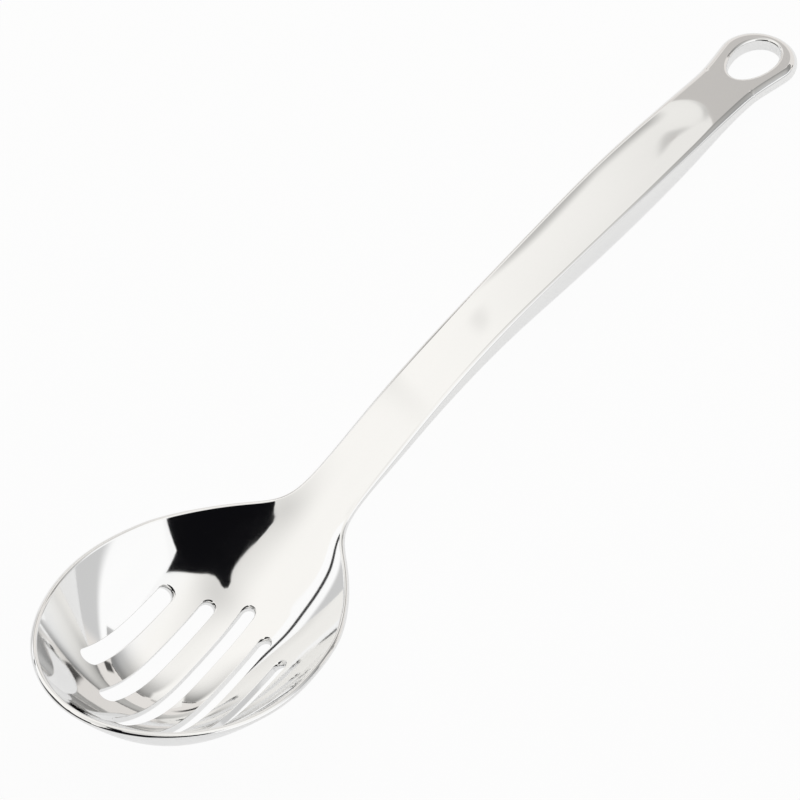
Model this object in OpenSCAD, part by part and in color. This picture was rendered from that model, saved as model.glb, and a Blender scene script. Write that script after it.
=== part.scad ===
// Slotted serving spoon with a hollow handle and a hanging eye.
// It lies as it rests on a table: bowl towards -X, handle towards +X, hollow side up.
// Places along the spoon are distances from the tip of the bowl, in millimetres.

/* [Overall] */
// Length from the tip of the bowl to the end of the hanging loop
spoon_len = 332; // [322:1:340]
// Thickness of the sheet that the bowl is pressed from
sheet_t = 2; // [1.7:0.1:2.3]

/* [Bowl] */
// Width between the inner edges of the rim
bowl_w = 75; // [70:0.5:80]
// Distance from the tip to the widest and deepest place of the bowl
widest_from_tip = 44; // [41:0.5:46]
// Distance from the tip to the place where the bowl has narrowed to the neck
bowl_len = 107; // [102:0.5:110]
// Height of the rim above the table at the tip
tip_h = 41.1; // [36:0.1:44]
// Height of the rim above the table at the foot of the neck
foot_h = 16.1; // [14:0.1:17]
// Length over which the hollow of the bowl runs out into the neck, from its deepest place
runout_len = 78; // [75:1:81]

/* [Slots] */
// Width of each slot
slot_w = 4.2; // [4.2:0.1:5]
// Distance between the middles of neighbouring slots
slot_pitch = 10.4; // [9.6:0.1:11]
// Distance from the tip to the middle of the slots
slots_from_tip = 39.3; // [38:0.1:41]
// Length of the middle slot
slot_mid_len = 54; // [48:0.5:56]
// How much shorter the two slots beside the middle one are
slot_inner_less = 10.6; // [8:0.2:12]
// How much shorter the two outermost slots are
slot_outer_less = 20.4; // [17:0.2:24]

/* [Handle] */
// Width of the neck
neck_w = 17.5; // [16.5:0.1:18.5]
// Width of the handle at its grip
grip_w = 20.9; // [19.6:0.1:22]
// Greatest thickness of the handle
grip_t = 15; // [13:0.1:16]
// Distance from the joint of handle and loop to the thickest place of the handle
thickest_from_loop = 75; // [69:1:83]
// Height of the arch above a straight line from the foot of the neck to the loop
arch_h = 8.6; // [7.6:0.1:9.6]
// Depth of the shallow channel in the top face
channel_depth = 0.7; // [0.3:0.1:1]
// Wall of the two handle shells
wall = 1; // [0.8:0.05:1.2]
// Rounding of the long edges
edge_round = 0.5; // [0.3:0.05:0.6]

/* [Hanging loop] */
// Width of the loop
loop_w = 25.5; // [24.5:0.1:27]
// Thickness of the loop
loop_t = 5.2; // [5:0.1:5.8]
// Length of the cast end from its joint to the end of the spoon
loop_len = 30; // [29.5:0.5:32]
// Length of the eye
eye_len = 22; // [19:0.2:22.4]
// Width of the eye
eye_w = 13.8; // [11:0.2:14.2]
// Distance from the end of the spoon to the eye
eye_from_end = 4.2; // [4:0.1:4.6]

/* [Joints] */
// Distance from the tip to the joint of neck and handle shells
neck_joint_from_tip = 151; // [144:1:156]
// Depth of the weld grooves around the two ring joints
ring_groove = 0.4; // [0.25:0.05:0.45]
// Depth of the weld grooves along the two side seams
seam_groove = 0.5; // [0.35:0.05:0.5]
// How far each spigot reaches into the shells
spigot_len = 8; // [5:0.5:12]
// Clearance between a spigot and the shells
spigot_gap = 0.1; // [0.05:0.01:0.2]

/* [Hidden] */
steel = "#d4d6d8";
weld_steel = "#c2c4c6";

// Fullness of the rim's outline, of the tip wall, of the bowl's section and of the handle's belly
tip_power = 1.93;
wall_power = 3;
bowl_power = 2.2;
belly_power = 3;
// Half width of the bowl behind its widest place: share of the run, share of the swell
bowl_fall_shares = [[0, 1], [0.316, 0.889], [0.506, 0.678], [0.665, 0.401], [0.792, 0.125],
                    [0.888, 0.032], [1, 0.005]];
// Half width of the handle: share of its run, share of the swell from neck to grip
grip_swell_shares = [[0.1, 0.08], [0.23, 0], [0.38, 0.04], [0.56, 0.5], [0.74, 1], [0.9, 1.02]];
// Outline of the loop's flanks: share of the run to its widest place, share of the flare
flare_shares = [[0.3, 0.24], [0.62, 0.6], [0.85, 0.88]];
// Height of the rim: share of the way to the foot, share of the drop from tip to foot
rim_line_shares = [[0, 1], [0.272, 0.636], [0.543, 0.372], [0.815, 0.093]];
// Height of the handle's edge over the straight line: share of the run, share of the arch
arch_shares = [[0.062, 0.12], [0.135, 0.37], [0.255, 0.8], [0.4, 0.98], [0.567, 0.9],
               [0.76, 0.667], [0.904, 0.24]];
// Floor of the bowl behind its deepest place: share of the run-out, share of the climb
floor_climb_shares = [[0, 0], [0.13, 0.015], [0.26, 0.09], [0.41, 0.34], [0.54, 0.56], [0.64, 0.69],
                      [0.75, 0.8], [0.87, 0.895], [1, 1]];
// Thickness from the neck to the thickest place: share of the run, share of the growth
growth_shares = [[0, 0], [0.04, 0.025], [0.21, 0.25], [0.375, 0.43], [0.585, 0.64], [0.79, 0.87], [1, 1]];
// Thickness from the thickest place to the loop: share of the run, share of what remains
taper_shares = [[0.333, 0.91], [0.6, 0.63], [0.8, 0.17], [0.92, 0.02], [1, 0]];
// Depth of the channel along the shells: share of their run, share of the depth
channel_shares = [[0, 0], [0.2, 0.5], [0.35, 1], [0.8, 1], [0.93, 0.6], [1, 0]];
// Where the foot of the neck lies, as a share of the bowl's length
foot_share = 0.877;
// How far the loop leans down towards its end, as a share of its length
loop_lean_share = 0.16;
// Share of the loop's flanks over which the handle's section turns into the loop's
loop_turn_share = 0.7;
// Upright land that the loop keeps on its outer edge, as a share of half its thickness
loop_land_share = 0.12;
// How much wider the eye is towards its far end
eye_egg_share = 0.1;
// Height of the eye's rounding and of its cutter, as shares of half the loop's thickness
eye_round_share = 1.08;
eye_reach_share = 1.05;
// Heights of the eye cutter's levels, as shares of its reach
eye_level_shares = [-1, -0.9, -0.7, -0.4, 0, 0.4, 0.7, 0.9, 1];
// How an inner section's edge rounding and flank differ from the outer ones, as shares of its depth
inner_round_share = 0.5;
inner_flank_share = 0.5;

// Steps of the meshes
tip_row_angle = 7;
tip_rows = 14;
bowl_rows = 25;
shell_rows = 28;
flank_rows = 7;
end_rows = 9;
end_row_angle = 83;
spigot_rows = 3;
quarter_count = 10;
flank_angle = 2;
eye_count = 40;
// Numbers of the section's points: the last of the top face, the parting line and the lowest
edge_count = 11;
parting_count = 14;
lowest_count = 23;
// Small step for slopes, and the overrun of the cutters
slope_step = spoon_len / 6600;
overrun = sheet_t;

// Derived places
tip_slope = wall_power * (tip_h - sheet_t) / widest_from_tip;
tip_set = sheet_t * tip_slope / sqrt(1 + tip_slope * tip_slope)
          - widest_from_tip * (1 - cos(tip_row_angle));
nose = widest_from_tip - tip_set;
runout_end = widest_from_tip + runout_len;
foot = bowl_len * foot_share;
loop_joint = spoon_len - loop_len;
loop_r = loop_w / 2;
loop_mid = spoon_len - loop_r;
loop_half_t = loop_t / 2;
loop_rest = loop_half_t * sqrt(1 + loop_lean_share * loop_lean_share);
handle_run = loop_joint - bowl_len;
shell_run = loop_joint - neck_joint_from_tip;
thickest = loop_joint - thickest_from_loop;

// A smooth curve through knots of place and value
function knot_slope(k, i) =
    let (a = max(i - 1, 0), b = min(i + 1, len(k) - 1))
    (k[b][1] - k[a][1]) / (k[b][0] - k[a][0]);
function knot_before(k, x, i = 0) =
    (i >= len(k) - 2 || x < k[i + 1][0]) ? i : knot_before(k, x, i + 1);
function curve(k, x) =
    let (
        i = knot_before(k, x),
        h = k[i + 1][0] - k[i][0],
        t = (x - k[i][0]) / h,
        u = 1 - t
    )
    u * u * (1 + 2 * t) * k[i][1] + t * u * u * h * knot_slope(k, i)
    + t * t * (3 - 2 * t) * k[i + 1][1] - t * t * u * h * knot_slope(k, i + 1);
function blend(a, b, t) = a + (b - a) * t;
function ease(t) = let (u = min(max(t, 0), 1)) u * u * (3 - 2 * u);
function steps(a, b, n) = [for (i = [1 : n]) blend(a, b, i / n)];

// Height of the middle of the loop, which leans down towards its end
function loop_mid_z(s) = loop_rest + loop_lean_share * (spoon_len - loop_half_t - s);

// Height of the edges of the top face, from the rim at the tip to the end of the loop
joint_z = loop_mid_z(loop_joint) + loop_half_t;
edge_knots = concat(
    [for (k = rim_line_shares) [blend(tip_set, foot, k[0]), blend(foot_h, tip_h, k[1])]],
    [[foot, foot_h]],
    [for (k = arch_shares)
        [blend(foot, loop_joint, k[0]), blend(foot_h, joint_z, k[0]) + k[1] * arch_h]],
    [for (s = [loop_joint, loop_mid, spoon_len]) [s, loop_mid_z(s) + loop_half_t]]
);
function edge_z(s) = curve(edge_knots, s);

// Half width of the outline; the bowl's curve starts level at its widest place
bowl_fall = [for (k = bowl_fall_shares)
    [blend(widest_from_tip, bowl_len, k[0]), blend(neck_w, bowl_w, k[1]) / 2]];
width_knots = concat(
    [[2 * widest_from_tip - bowl_fall[1][0], bowl_fall[1][1]]],
    bowl_fall,
    [for (k = grip_swell_shares) [bowl_len + handle_run * k[0], blend(neck_w, grip_w, k[1]) / 2]],
    [[loop_joint, grip_w / 2]],
    [for (k = flare_shares) [blend(loop_joint, loop_mid, k[0]), blend(grip_w, loop_w, k[1]) / 2]],
    [[loop_mid, loop_r], [spoon_len, loop_r]]
);
function half_width(s) =
    s < widest_from_tip
    ? bowl_w / 2 * pow(1 - pow((widest_from_tip - s) / nose, tip_power), 1 / tip_power)
    : s < loop_mid ? curve(width_knots, s)
    : sqrt(loop_r * loop_r - (s - loop_mid) * (s - loop_mid));

// How deep the top face lies under its edges on the middle line
floor_climb = [for (k = floor_climb_shares)
    [widest_from_tip + runout_len * k[0], blend(sheet_t, edge_z(runout_end), k[1])]];
floor_knots = concat([[2 * widest_from_tip - floor_climb[1][0], floor_climb[1][1]]], floor_climb);
channel_knots = [for (k = channel_shares)
    [neck_joint_from_tip + shell_run * k[0], channel_depth * k[1]]];
function floor_z(s) =
    s < widest_from_tip
    ? sheet_t + (tip_h - sheet_t) * pow((widest_from_tip - s) / nose, wall_power)
    : curve(floor_knots, s);
function dish(s) =
    s < runout_end ? edge_z(s) - floor_z(s)
    : s < neck_joint_from_tip || s > loop_joint ? 0
    : curve(channel_knots, s);

// Thickness on the middle line, from the edge's height down
thick_knots = concat(
    [for (k = growth_shares) [blend(bowl_len, thickest, k[0]), blend(sheet_t, grip_t, k[1])]],
    [for (k = taper_shares) [blend(thickest, loop_joint, k[0]), blend(loop_t, grip_t, k[1])]]
);
function thickness(s) =
    s < bowl_len ? sheet_t : s > loop_joint ? loop_t : curve(thick_knots, s);

// Upper surface at the share e of its half width, and the direction square to it
function upper(s, e, inset = 0) =
    [s, e * (half_width(s) - inset), edge_z(s) - inset - dish(s) * (1 - pow(abs(e), bowl_power))];
function square_to(s, e) =
    let (
        t = slope_step / half_width(s),
        a = upper(s + slope_step, e) - upper(s - slope_step, e),
        b = upper(s, e) - upper(s, e - t),
        n = cross(a, b)
    )
    n / norm(n);

// How far a section is that of the sheet, and how far it is that of the loop
function sheet_share(s) = 1 - ease((s - foot) / (runout_end - foot));
function loop_share(s) = ease((s - loop_joint) / ((loop_mid - loop_joint) * loop_turn_share));

// A point at the depth d, square under the sheet's surface or straight under the handle's edge
function under(s, e, d, inset) =
    let (
        k = sheet_share(s),
        plain = [s, e * (half_width(s) - inset), edge_z(s) - d]
    )
    k > 0 ? blend(plain, upper(s, e) - d * square_to(s, e), k) : plain;

// The loop's rounded section: its half thickness at a point, and a section's point turned into it
function loop_rise(s, y) =
    let (
        d = s < loop_mid ? half_width(s) - abs(y) : loop_r - norm([s - loop_mid, y]),
        r = 1 - min(max(d / loop_half_t, 0), 1)
    )
    loop_half_t * max(sqrt(1 - r * r), loop_land_share);
function turned(p, side) =
    let (q = loop_share(p[0]))
    q > 0 ? [p[0], p[1], blend(p[2], loop_mid_z(p[0]) + side * loop_rise(p[0], p[1]), q)] : p;

// Right half of a section, from its highest line over the edge to its lowest line
function half_section(s, inset = 0) =
    let (
        w = half_width(s) - inset,
        k = sheet_share(s),
        c = edge_round * (1 - inner_round_share * inset / wall),
        crown = 1 - c / w,
        flank = sheet_t - edge_round + inner_flank_share * inset,
        start = blend(flank, sheet_t, k),
        fall = thickness(s) - inset - start,
        top = [for (i = [quarter_count : -1 : 0]) upper(s, crown * cos(90 * i / quarter_count), inset)],
        edge = [under(s, 1, inset + c, inset), under(s, 1, flank, inset)],
        angles = concat([blend(flank_angle, 0, k)], steps(0, 90, quarter_count)),
        low = [for (a = angles)
            under(s, blend(pow(cos(a), 2 / belly_power), crown * cos(a), k),
                  start + fall * pow(sin(a), 2 / belly_power), inset)]
    )
    concat(
        [for (p = top) turned(p, 1)],
        [turned(edge[0], 1), turned(edge[1], -1)],
        [for (p = low) turned(p, -1)]
    );

function mirrored(p) = [p[0], -p[1], p[2]];
function back_to_front(l) = [for (i = [len(l) - 1 : -1 : 0]) l[i]];
function both_sides(l) = concat([for (i = [len(l) - 1 : -1 : 1]) mirrored(l[i])], l);
function part_of(l, a, b) = [for (i = [a : (a < b ? 1 : -1) : b]) l[i]];

// A closed section: the upper line from left to right, then the lower one back
function closed(above, below) = concat(both_sides(above), back_to_front(both_sides(below)));
function solid_section(s, inset = 0) =
    let (h = half_section(s, inset))
    closed(part_of(h, 0, edge_count), part_of(h, lowest_count, edge_count + 1));

// Corners of the seam groove on the parting line: upper, middle, lower, and its root
function towards(a, b, d) = a + (b - a) * d / norm(b - a);
function seam_corners(s, inset) =
    let (
        outer = half_section(s, inset),
        full = half_section(s),
        inner = half_section(s, wall),
        p = parting_count
    )
    [towards(outer[p], outer[p - 1], seam_groove), outer[p], towards(outer[p], outer[p + 1], seam_groove),
     towards(full[p], inner[p], seam_groove)];
function top_shell_section(s, inset) =
    let (
        h = half_section(s, inset),
        n = half_section(s, wall),
        c = seam_corners(s, inset),
        p = parting_count
    )
    closed(concat(part_of(h, 0, p - 1), [c[0], c[3]]),
           concat(part_of(n, 0, p - 1), [(n[p - 1] + n[p]) / 2, n[p]]));
function bottom_shell_section(s, inset) =
    let (
        h = half_section(s, inset),
        n = half_section(s, wall),
        c = seam_corners(s, inset),
        p = parting_count
    )
    closed(concat(part_of(n, lowest_count, p + 1), [(n[p + 1] + n[p]) / 2, n[p]]),
           concat(part_of(h, lowest_count, p + 1), [c[2], c[3]]));

// A solid through a row of sections, each with the same number of points
module skin(rows) {
    n = len(rows[0]);
    last = len(rows) - 1;
    sides = [for (r = [0 : last - 1], i = [0 : n - 1])
        let (j = (i + 1) % n, a = r * n, b = a + n)
        each [[a + i, a + j, b + j], [a + i, b + j, b + i]]];
    caps = [for (i = [0 : n / 2 - 2])
        let (j = n - 1 - i, m = last * n)
        each [[i, j, j - 1], [i, j - 1, i + 1], [m + i, m + i + 1, m + j - 1], [m + i, m + j - 1, m + j]]];
    polyhedron(points = [for (r = rows) each r], faces = concat(sides, caps));
}

// A ring through closed loops of points, joined round from the last to the first
module ring(loops) {
    n = len(loops[0]);
    m = len(loops);
    faces = [for (r = [0 : m - 1], i = [0 : n - 1])
        let (j = (i + 1) % n, a = r * n, b = ((r + 1) % m) * n)
        each (r < m / 2
              ? [[a + i, a + j, b + j], [a + i, b + j, b + i]]
              : [[a + i, a + j, b + i], [a + j, b + j, b + i]])];
    polyhedron(points = [for (l = loops) each l], faces = faces);
}

function tip_places() = [for (i = [0 : tip_rows])
    widest_from_tip - nose * cos(blend(tip_row_angle, 90, i / tip_rows))];
function spigot_sections(s, way) =
    let (d = wall + spigot_gap, full = way * (spigot_len - ring_groove))
    concat([solid_section(s, d)],
           [for (t = steps(s, s + full, spigot_rows)) solid_section(t, d)],
           [solid_section(s + way * spigot_len, d + ring_groove)]);

// The head: pressed bowl with its slots, drawn out into a solid neck with a spigot
module slotted_bowl() {
    end = neck_joint_from_tip;
    places = concat(tip_places(), steps(widest_from_tip, end - ring_groove, bowl_rows));
    color(steel)
    translate([-spoon_len / 2, 0, 0])
    difference() {
        skin(concat([for (s = places) solid_section(s)], [solid_section(end, ring_groove)],
                    spigot_sections(end, 1)));
        slot(0, slot_mid_len);
        for (side = [-1, 1]) {
            slot(side * slot_pitch, slot_mid_len - slot_inner_less);
            slot(side * 2 * slot_pitch, slot_mid_len - slot_outer_less);
        }
    }
}

// Cutter of one slot, with round ends
module slot(y, length) {
    translate([slots_from_tip, y, -overrun])
    linear_extrude(tip_h + overrun) {
        square([length - slot_w, slot_w], center = true);
        for (end = [-1, 1]) {
            translate([end * (length - slot_w) / 2, 0])
            circle(d = slot_w);
        }
    }
}

// Places of the shells' sections with their insets: both ends are drawn in for the ring welds
function shell_stations() =
    let (a = neck_joint_from_tip + ring_groove, b = loop_joint - ring_groove)
    concat([[neck_joint_from_tip, ring_groove], [a, 0]],
           [for (s = steps(a, b, shell_rows)) [s, 0]],
           [[loop_joint, ring_groove]]);

// The upper pressing of the handle, with the channel
module handle_top_shell() {
    color(steel)
    translate([-spoon_len / 2, 0, 0])
    skin([for (t = shell_stations()) top_shell_section(t[0], t[1])]);
}

// The lower pressing of the handle, which makes the belly
module handle_bottom_shell() {
    color(steel)
    translate([-spoon_len / 2, 0, 0])
    skin([for (t = shell_stations()) bottom_shell_section(t[0], t[1])]);
}

// The cast end: spigot, flanks and round end, with the eye through it
module hanging_loop() {
    start = loop_joint + ring_groove;
    ends = [for (i = [1 : end_rows]) loop_mid + loop_r * sin(end_row_angle * i / end_rows)];
    places = concat([start], steps(start, loop_mid, flank_rows), ends);
    color(steel)
    translate([-spoon_len / 2, 0, 0])
    difference() {
        skin(concat(back_to_front(spigot_sections(loop_joint, -1)),
                    [solid_section(loop_joint, ring_groove)],
                    [for (s = places) solid_section(s)]));
        eye();
    }
}

// Cutter of the eye; it opens towards both faces, so that the edges come out rounded
module eye() {
    middle = spoon_len - eye_from_end - eye_len / 2;
    reach = loop_half_t * eye_reach_share;
    levels = concat([[loop_t, 1]], [for (t = back_to_front(eye_level_shares)) [t * reach, abs(t)]],
                    [[-loop_t, 1]]);
    rings = [for (l = levels)
        let (r = l[1] * eye_reach_share / eye_round_share, wide = loop_half_t * (1 - sqrt(1 - r * r)))
        [for (i = [0 : eye_count - 1])
            let (a = 360 * i / eye_count, s = middle + (eye_len / 2 + wide) * cos(a))
            [s, (eye_w / 2 + wide) * sin(a) * (1 + eye_egg_share * cos(a)), loop_mid_z(s) + l[0]]]];
    n = len(rings[0]);
    last = (len(rings) - 1) * n;
    sides = [for (r = [0 : len(rings) - 2], i = [0 : n - 1])
        let (j = (i + 1) % n, a = r * n, b = a + n)
        each [[a + i, a + j, b + j], [a + i, b + j, b + i]]];
    polyhedron(points = [for (r = rings) each r],
               faces = concat(sides, [[for (i = [n - 1 : -1 : 0]) i], [for (i = [0 : n - 1]) last + i]]));
}

// The bead round a ring joint, flush with the surfaces on both sides
module ring_weld(s) {
    color(weld_steel)
    translate([-spoon_len / 2, 0, 0])
    ring([solid_section(s - ring_groove), solid_section(s), solid_section(s + ring_groove),
          solid_section(s, ring_groove)]);
}

module neck_weld() {
    ring_weld(neck_joint_from_tip);
}

module loop_weld() {
    ring_weld(loop_joint);
}

// The bead along a side seam, between the two ring welds
module seam_weld() {
    first = neck_joint_from_tip + ring_groove;
    places = concat([first], steps(first, loop_joint - ring_groove, shell_rows));
    color(weld_steel)
    translate([-spoon_len / 2, 0, 0])
    skin([for (s = places) let (c = seam_corners(s, 0)) [c[3], c[0], c[1], c[2]]]);
}

module seam_weld_left() {
    seam_weld();
}

module seam_weld_right() {
    mirror([0, 1, 0])
    seam_weld();
}

slotted_bowl();
handle_top_shell();
handle_bottom_shell();
hanging_loop();
neck_weld();
loop_weld();
seam_weld_left();
seam_weld_right();
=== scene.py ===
"""Looks of the slotted serving spoon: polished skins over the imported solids, in a pale studio."""
import math

import bmesh
import bpy
import numpy as np
from mathutils import Matrix, Vector
from mathutils.bvhtree import BVHTree


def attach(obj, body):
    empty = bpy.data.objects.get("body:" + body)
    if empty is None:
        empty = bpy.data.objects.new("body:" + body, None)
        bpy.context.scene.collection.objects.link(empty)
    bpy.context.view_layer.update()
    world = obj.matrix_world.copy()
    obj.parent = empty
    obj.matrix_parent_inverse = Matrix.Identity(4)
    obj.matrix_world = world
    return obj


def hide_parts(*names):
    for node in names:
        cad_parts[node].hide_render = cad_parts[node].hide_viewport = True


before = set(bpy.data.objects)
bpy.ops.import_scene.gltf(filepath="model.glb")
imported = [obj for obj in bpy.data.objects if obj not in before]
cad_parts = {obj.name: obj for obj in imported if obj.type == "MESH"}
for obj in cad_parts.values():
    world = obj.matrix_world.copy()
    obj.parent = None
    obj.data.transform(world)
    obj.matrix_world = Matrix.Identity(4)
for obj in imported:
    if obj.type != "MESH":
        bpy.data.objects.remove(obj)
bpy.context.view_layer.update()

# Sizes of the spoon in millimetres; places along it are distances from the tip of the bowl.
# LEAN and EYE_EGG are slopes: of the loop, and of the eye's width.
SPOON_LEN = 332.0
SHEET_T = 2.0
BOWL_W = 75.0
WIDEST = 44.0
BOWL_LEN = 107.0
TIP_H = 41.1
FOOT_H = 16.1
RUNOUT_LEN = 78.0
SLOT_W = 4.2
SLOT_PITCH = 10.4
SLOTS_MIDDLE = 39.3
SLOT_LENGTHS = {0: 54.0, 1: 43.4, 2: 33.6}
NECK_W = 17.5
GRIP_W = 20.9
GRIP_T = 15.0
ARCH_H = 8.6
CHANNEL = 0.7
CHANNEL_BOW = 7.0
WALL = 1.0
FLANK = 1.5
LOOP_W = 25.5
LOOP_T = 5.2
LOOP_LEN = 30.0
EYE_LEN = 22.0
EYE_W = 13.8
EYE_FROM_END = 4.2
EYE_EGG = 0.1
NECK_JOINT = 151.0
GROOVE = 0.4
BEAD = 0.45
SPIGOT_LEN = 8.0
SPIGOT_GAP = 0.1
LEAN = 0.16
RIM_ROUND = 0.8
HANDLE_ROUND = 1.3
LOOP_ROUND = 2.4
EYE_ROUND = 1.0
LOOP_UNDER_ROUND = 2.3
SLOT_ROUND = 0.22
NECK_END_ROUND = 1.75

# Powers of the curves: section of the belly, outline of the tip, section and tip wall of the bowl
BELLY = 3.0
TIP_POWER = 1.93
BOWL_POWER = 2.2
WALL_POWER = 3.0

TIP_SLOPE = WALL_POWER * (TIP_H - SHEET_T) / WIDEST
TIP_TURN = math.radians(7)
TIP_SET = SHEET_T * TIP_SLOPE / math.hypot(1, TIP_SLOPE) - WIDEST * (1 - math.cos(TIP_TURN))
NOSE = WIDEST - TIP_SET
RUNOUT_END = WIDEST + RUNOUT_LEN
FOOT_SHARE = 0.877
FOOT = BOWL_LEN * FOOT_SHARE
LOOP_JOINT = SPOON_LEN - LOOP_LEN
LOOP_R = LOOP_W / 2
LOOP_MID = SPOON_LEN - LOOP_R
LOOP_HALF = LOOP_T / 2
THICKEST = LOOP_JOINT - 75.0

# Where one formula fades into the next along the spoon: start and length of each fade
TIP_FADE = (14, 22)
END_FADE = (LOOP_JOINT + 3, 10)
ROUND_FADE = (LOOP_JOINT - 80, 80)
BOW_FADE = (LOOP_JOINT - 47, 20)
TIP_RIM_END = 20.0

# The formulas stay this far off the tip, where they would divide by nothing
TIP_CLEARANCE = 0.02
LEAST_HALF_WIDTH = 0.02


def mix(a, b, t):
    return a + (b - a) * t


def ease(t):
    u = np.clip(t, 0, 1)
    return u * u * (3 - 2 * u)


def curve(knots, x):
    """Smooth curve through knots of place and value."""
    k = np.asarray(knots, float)
    x = np.asarray(x, float)
    n = len(k)
    a = np.maximum(np.arange(n) - 1, 0)
    b = np.minimum(np.arange(n) + 1, n - 1)
    slope = (k[b, 1] - k[a, 1]) / (k[b, 0] - k[a, 0])
    i = np.clip(np.searchsorted(k[:, 0], x, side="right") - 1, 0, n - 2)
    h = k[i + 1, 0] - k[i, 0]
    t = (x - k[i, 0]) / h
    u = 1 - t
    return (u * u * (1 + 2 * t) * k[i, 1] + t * u * u * h * slope[i]
            + t * t * (3 - 2 * t) * k[i + 1, 1] - t * t * u * h * slope[i + 1])


def loop_mid_z(s):
    return LOOP_HALF * math.hypot(1, LEAN) + LEAN * (SPOON_LEN - LOOP_HALF - s)


# Profiles along the spoon as knots of place and value: height of the edge, half width, floor of
# the bowl, depth of the channel and thickness
JOINT_Z = loop_mid_z(LOOP_JOINT) + LOOP_HALF
EDGE = [(mix(TIP_SET, FOOT, p), mix(FOOT_H, TIP_H, q)) for p, q in
        [(0, 1), (0.272, 0.636), (0.543, 0.372), (0.815, 0.093)]]
EDGE += [(FOOT, FOOT_H)]
EDGE += [(mix(FOOT, LOOP_JOINT, p), mix(FOOT_H, JOINT_Z, p) + q * ARCH_H) for p, q in
         [(0.062, 0.12), (0.135, 0.37), (0.255, 0.8), (0.4, 0.98), (0.567, 0.9), (0.76, 0.667),
          (0.904, 0.3)]]
EDGE += [(s, loop_mid_z(s) + LOOP_HALF) for s in (LOOP_JOINT, LOOP_MID, SPOON_LEN)]
FALL = [(mix(WIDEST, BOWL_LEN, p), mix(NECK_W, BOWL_W, q) / 2) for p, q in
        [(0, 1), (0.316, 0.889), (0.506, 0.678), (0.665, 0.401), (0.792, 0.125), (0.888, 0.032),
         (1, 0.005)]]
WIDTH = [(2 * WIDEST - FALL[1][0], FALL[1][1])] + FALL
WIDTH += [(BOWL_LEN + (LOOP_JOINT - BOWL_LEN) * p, mix(NECK_W, GRIP_W, q) / 2) for p, q in
          [(0.1, 0.08), (0.23, 0), (0.38, 0.04), (0.56, 0.5), (0.74, 1), (0.9, 1.02)]]
WIDTH += [(LOOP_JOINT, GRIP_W / 2)]
WIDTH += [(mix(LOOP_JOINT, LOOP_MID, p), mix(GRIP_W, LOOP_W, q) / 2) for p, q in
          [(0.3, 0.24), (0.62, 0.6), (0.85, 0.88)]]
WIDTH += [(LOOP_MID, LOOP_R), (SPOON_LEN, LOOP_R)]
CLIMB = [(WIDEST + RUNOUT_LEN * p, mix(SHEET_T, float(curve(EDGE, RUNOUT_END)), q)) for p, q in
         [(0, 0), (0.13, 0.015), (0.26, 0.09), (0.41, 0.34), (0.54, 0.56), (0.64, 0.69),
          (0.75, 0.8), (0.87, 0.895), (1, 1)]]
FLOOR = [(2 * WIDEST - CLIMB[1][0], CLIMB[1][1])] + CLIMB
DISH = [(NECK_JOINT + (LOOP_JOINT - NECK_JOINT) * p, CHANNEL * q) for p, q in
        [(0, 0), (0.2, 0.5), (0.35, 1), (0.8, 1), (0.862, 0.6), (0.9, 0.12), (0.925, 0), (1, 0)]]
THICK = [(mix(BOWL_LEN, THICKEST, p), mix(SHEET_T, GRIP_T, q)) for p, q in
         [(0, 0), (0.04, 0.025), (0.21, 0.25), (0.375, 0.43), (0.585, 0.64), (0.79, 0.87), (1, 1)]]
THICK += [(mix(THICKEST, LOOP_JOINT, p), mix(LOOP_T, GRIP_T, q)) for p, q in
          [(0.333, 0.91), (0.6, 0.63), (0.8, 0.17), (0.92, 0.02), (1, 0)]]


def plain_half_width(s):
    x = np.clip((WIDEST - s) / NOSE, 0, 1)
    front = BOWL_W / 2 * np.maximum(1 - x ** TIP_POWER, 0) ** (1 / TIP_POWER)
    end = np.sqrt(np.maximum(LOOP_R ** 2 - (s - LOOP_MID) ** 2, 0))
    return np.where(s < WIDEST, front, np.where(s < LOOP_MID, curve(WIDTH, s), end))


def plain_edge(s):
    return curve(EDGE, np.clip(s, TIP_SET, SPOON_LEN))


def plain_dish(s):
    x = np.clip((WIDEST - s) / NOSE, 0, 1)
    floor = np.where(s < WIDEST, SHEET_T + (TIP_H - SHEET_T) * x ** WALL_POWER, curve(FLOOR, s))
    return np.where(s < RUNOUT_END, plain_edge(s) - floor,
                    np.where((s < NECK_JOINT) | (s > LOOP_JOINT), 0, curve(DISH, s)))


def plain_thickness(s):
    return np.where(s < BOWL_LEN, SHEET_T, np.where(s > LOOP_JOINT, LOOP_T, curve(THICK, s)))


def plain_round(s):
    return mix(HANDLE_ROUND, LOOP_ROUND, ease((s - ROUND_FADE[0]) / ROUND_FADE[1]))


# A mirror shows each step in a curve's bending, so the profiles are averaged and laid through a
# smooth spline; in the handle the averaging reaches further
GRID_STEP = 0.5
GRID_PAST = 10.0
GRID = np.arange(-GRID_PAST, SPOON_LEN + GRID_PAST + GRID_STEP / 2, GRID_STEP)
KNOT_STEP = 5
CALM_START = (100, 150)
CALM_FADE = 25
CHANNEL_CALM_END = LOOP_JOINT - 55
CALM_TIMES = 3


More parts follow.
